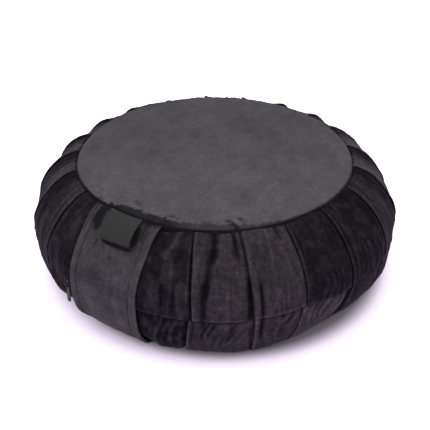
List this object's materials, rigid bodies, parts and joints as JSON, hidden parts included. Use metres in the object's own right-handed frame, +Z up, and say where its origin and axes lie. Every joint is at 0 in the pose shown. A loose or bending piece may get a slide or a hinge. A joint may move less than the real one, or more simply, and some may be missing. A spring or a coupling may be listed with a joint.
{
  "type": "zafu meditation cushion",
  "caption": "Round filled floor cushion with a knife-pleated velvet wall between two circles, a carrying strap down its side and a hidden zip around it.",
  "frame": {"origin": "middle of the flat underside, on the surface that the cushion stands on", "axes": "+Z up through the cushion's middle; -Y out through the middle of the carrying strap; +X to the right, seen with the strap facing the viewer"},
  "size_m": [0.4002, 0.4029, 0.135],
  "materials": {
    "wall_velvet": "black short-pile velvet, gathered in pleats",
    "top_velvet": "black short-pile velvet, stretched over the filling",
    "base_velvet": "black short-pile velvet, flat",
    "strap_velvet": "black short-pile velvet, hemmed and topstitched",
    "label_satin": "black woven satin ribbon, bare",
    "zip_metal": "glossy black lacquer"
  },
  "bodies": {
    "root": {"filled_wall": "wall_velvet", "lower_band": "wall_velvet", "top_circle": "top_velvet", "bottom_circle": "base_velvet", "strap": "strap_velvet", "side_label": "label_satin", "zip_slider": "zip_metal", "zip_pull": "zip_metal"}
  },
  "joints": []
}
